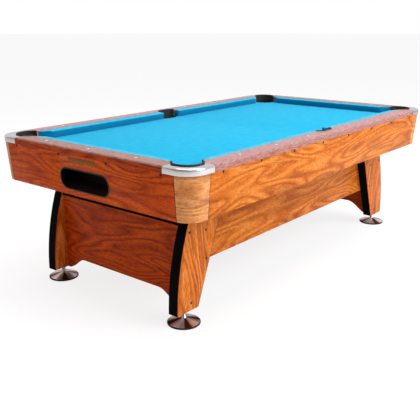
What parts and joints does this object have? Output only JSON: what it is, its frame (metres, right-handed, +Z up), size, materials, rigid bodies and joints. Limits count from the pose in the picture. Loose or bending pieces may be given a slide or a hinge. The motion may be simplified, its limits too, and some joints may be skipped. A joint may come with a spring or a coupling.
{
  "type": "pool table",
  "caption": "Rectangular pool table with a tapered wood-pattern cabinet, blue cloth, plated corner caps, a ball return window and board legs on adjustable feet.",
  "frame": {"origin": "on the floor under the middle of the table", "axes": "+X along the table away from the ball return, +Y across it to the left, +Z up"},
  "size_m": [2.286, 1.27, 0.769],
  "materials": {
    "bare_board": "matt fibreboard",
    "bed_cloth": "woven cloth",
    "cushion_cloth": "woven cloth over rubber",
    "rail_laminate": "satin wood-pattern laminate",
    "cabinet_laminate": "satin wood-pattern laminate, horizontal grain",
    "leg_laminate": "satin wood-pattern laminate, vertical grain",
    "white_inlay": "gloss",
    "polished_cap": "polished plating",
    "pocket_plastic": "satin black",
    "black_trim": "satin black edging",
    "return_plastic": "matt black",
    "plate_metal": "brushed",
    "dark_steel": "black",
    "bush_steel": "zinc",
    "copper_chrome": "copper-tinted plating",
    "foot_rubber": "matt",
    "stem_chrome": "polished plating"
  },
  "bodies": {
    "table": {"bed_panel": "bare_board", "bed_bearers": "bare_board", "bed_cloth": "bed_cloth", "cushion_right_near": "cushion_cloth", "cushion_right_far": "cushion_cloth", "cushion_left_near": "cushion_cloth", "cushion_left_far": "cushion_cloth", "cushion_near_end": "cushion_cloth", "cushion_far_end": "cushion_cloth", "rail_right": "rail_laminate", "rail_left": "rail_laminate", "rail_near_end": "rail_laminate", "rail_far_end": "rail_laminate", "rail_sights": "white_inlay", "corner_cap_near_right": "polished_cap", "corner_cap_near_left": "polished_cap", "corner_cap_far_right": "polished_cap", "corner_cap_far_left": "polished_cap", "corner_pocket_near_right": "pocket_plastic", "corner_pocket_near_left": "pocket_plastic", "corner_pocket_far_right": "pocket_plastic", "corner_pocket_far_left": "pocket_plastic", "side_pocket_right": "pocket_plastic", "side_pocket_left": "pocket_plastic", "apron_right": "cabinet_laminate", "apron_left": "cabinet_laminate", "apron_near_end": "cabinet_laminate", "apron_far_end": "cabinet_laminate", "corner_block_near_right": "cabinet_laminate", "corner_block_near_left": "cabinet_laminate", "corner_block_far_right": "cabinet_laminate", "corner_block_far_left": "cabinet_laminate", "skirt_right": "cabinet_laminate", "skirt_left": "cabinet_laminate", "end_panel_near": "cabinet_laminate", "end_panel_far": "cabinet_laminate", "leg_near_right": "leg_laminate", "leg_near_left": "leg_laminate", "leg_far_right": "leg_laminate", "leg_far_left": "leg_laminate", "return_trim": "black_trim", "edge_bands": "black_trim", "return_tray": "return_plastic", "ball_run_right": "return_plastic", "ball_run_left": "return_plastic", "blank_plate": "plate_metal", "cabinet_screws": "dark_steel", "foot_bushes": "bush_steel"},
    "foot_near_right": {"foot_cone_near_right": "copper_chrome", "foot_ring_near_right": "foot_rubber"},
    "stem_near_right": {"foot_stem_near_right": "stem_chrome"},
    "foot_near_left": {"foot_cone_near_left": "copper_chrome", "foot_ring_near_left": "foot_rubber"},
    "stem_near_left": {"foot_stem_near_left": "stem_chrome"},
    "foot_far_right": {"foot_cone_far_right": "copper_chrome", "foot_ring_far_right": "foot_rubber"},
    "stem_far_right": {"foot_stem_far_right": "stem_chrome"},
    "foot_far_left": {"foot_cone_far_left": "copper_chrome", "foot_ring_far_left": "foot_rubber"},
    "stem_far_left": {"foot_stem_far_left": "stem_chrome"}
  },
  "joints": [
    {"name": "foot_lift_near_right", "type": "slide", "parent": "table", "child": "foot_near_right", "axis": [0, 0, 1], "range_m": [-0.02, 0.025]},
    {"name": "stem_turn_near_right", "type": "hinge", "parent": "foot_near_right", "child": "stem_near_right", "pos_m": [-0.957, -0.426, 0.05], "axis": [0, 0, 1], "range_deg": [-2880, 3600]},
    {"name": "foot_lift_near_left", "type": "slide", "parent": "table", "child": "foot_near_left", "axis": [0, 0, 1], "range_m": [-0.02, 0.025]},
    {"name": "stem_turn_near_left", "type": "hinge", "parent": "foot_near_left", "child": "stem_near_left", "pos_m": [-0.957, 0.426, 0.05], "axis": [0, 0, 1], "range_deg": [-2880, 3600]},
    {"name": "foot_lift_far_right", "type": "slide", "parent": "table", "child": "foot_far_right", "axis": [0, 0, 1], "range_m": [-0.02, 0.025]},
    {"name": "stem_turn_far_right", "type": "hinge", "parent": "foot_far_right", "child": "stem_far_right", "pos_m": [0.957, -0.426, 0.05], "axis": [0, 0, 1], "range_deg": [-2880, 3600]},
    {"name": "foot_lift_far_left", "type": "slide", "parent": "table", "child": "foot_far_left", "axis": [0, 0, 1], "range_m": [-0.02, 0.025]},
    {"name": "stem_turn_far_left", "type": "hinge", "parent": "foot_far_left", "child": "stem_far_left", "pos_m": [0.957, 0.426, 0.05], "axis": [0, 0, 1], "range_deg": [-2880, 3600]}
  ],
  "couplings": [
    {"joint": "stem_turn_near_right", "follows": "foot_lift_near_right", "rad_per_m": 2513.3},
    {"joint": "stem_turn_near_left", "follows": "foot_lift_near_left", "rad_per_m": 2513.3},
    {"joint": "stem_turn_far_right", "follows": "foot_lift_far_right", "rad_per_m": 2513.3},
    {"joint": "stem_turn_far_left", "follows": "foot_lift_far_left", "rad_per_m": 2513.3}
  ]
}
